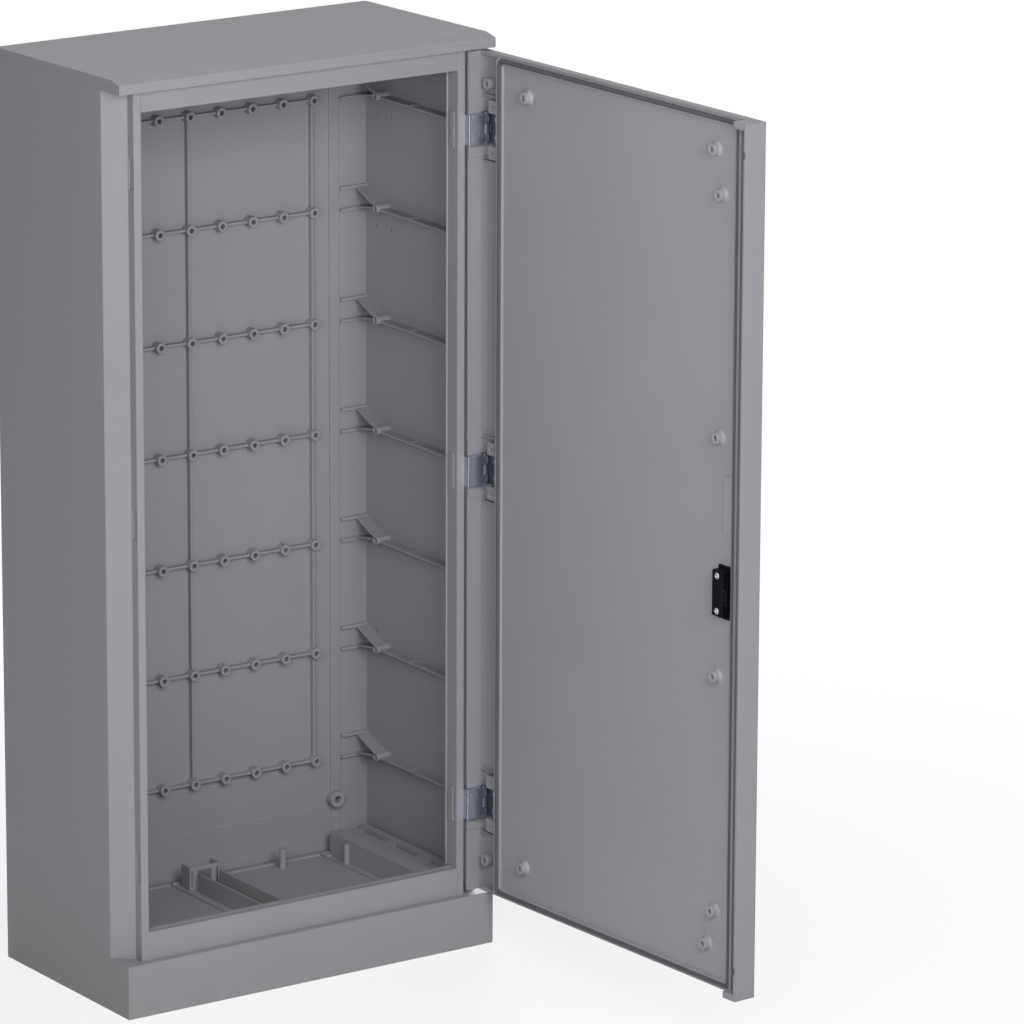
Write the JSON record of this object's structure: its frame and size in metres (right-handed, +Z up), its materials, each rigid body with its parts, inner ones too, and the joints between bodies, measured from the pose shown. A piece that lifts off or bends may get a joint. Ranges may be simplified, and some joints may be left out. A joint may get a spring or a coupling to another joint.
{
  "type": "roadside utility cabinet",
  "caption": "Tall roadside utility cabinet with a hinged front door and turning handle, a boss grid on the rear wall, side brackets, floor plates and a bolt-down base ring.",
  "frame": {"origin": "centre of the cabinet's footprint on the ground, which is the centre of the anchor hole pattern", "axes": "+Z up, the door opening faces -Y, +X to the right when facing the opening"},
  "size_m": [0.6402, 0.8933, 1.282],
  "materials": {
    "grey_shell": "fine moulded grain",
    "grey_door": "fine moulded grain",
    "zinc_steel": "zinc plated",
    "black_plastic": "satin",
    "seal_rubber": "matt",
    "label_blank": "bare",
    "dark_metal": "powder coat",
    "plated_brass": "nickel plated"
  },
  "bodies": {
    "cabinet": {"side_wall_left": "grey_shell", "side_wall_right": "grey_shell", "rear_wall": "grey_shell", "roof": "grey_shell", "plinth_front": "grey_shell", "post_left": "grey_shell", "post_right": "grey_shell", "top_bar": "grey_shell", "bottom_bar": "grey_shell", "floor_bearers": "grey_shell", "floor_plate_left": "grey_shell", "floor_plate_middle": "grey_shell", "floor_plate_right": "grey_shell", "cable_channel": "grey_shell", "channel_end_bracket": "grey_shell", "floor_post": "grey_shell", "side_rail_left": "grey_shell", "side_rail_right": "grey_shell", "hinge_backing_plates": "grey_shell", "anchor_ring": "zinc_steel", "hinge_frame_leaves": "zinc_steel", "roof_screws": "zinc_steel", "rear_wall_screws": "zinc_steel", "hinge_frame_screws": "zinc_steel"},
    "door": {"door_shell": "grey_door", "door_liner": "grey_door", "door_gasket": "seal_rubber", "label_plate": "label_blank", "hinge_door_leaves": "zinc_steel", "hinge_door_screws": "zinc_steel", "hinge_pins": "zinc_steel", "lock_case": "black_plastic", "lock_case_screws": "zinc_steel", "handle_plate": "dark_metal", "handle_plate_screws": "zinc_steel", "key_cylinder": "plated_brass"},
    "handle": {"handle_lever": "dark_metal", "handle_spindle": "zinc_steel", "latch_cam": "zinc_steel", "cam_screw": "zinc_steel"}
  },
  "joints": [
    {"name": "door_hinge", "type": "hinge", "parent": "cabinet", "child": "door", "pos_m": [0.281, -0.157, 0.675], "axis": [0, 0, 1], "range_deg": [-93, 12]},
    {"name": "handle_turn", "type": "hinge", "parent": "door", "child": "handle", "pos_m": [0.32238, -0.67905, 0.628], "axis": [0.9986, 0.0523, 0], "range_deg": [-90, 0]}
  ]
}
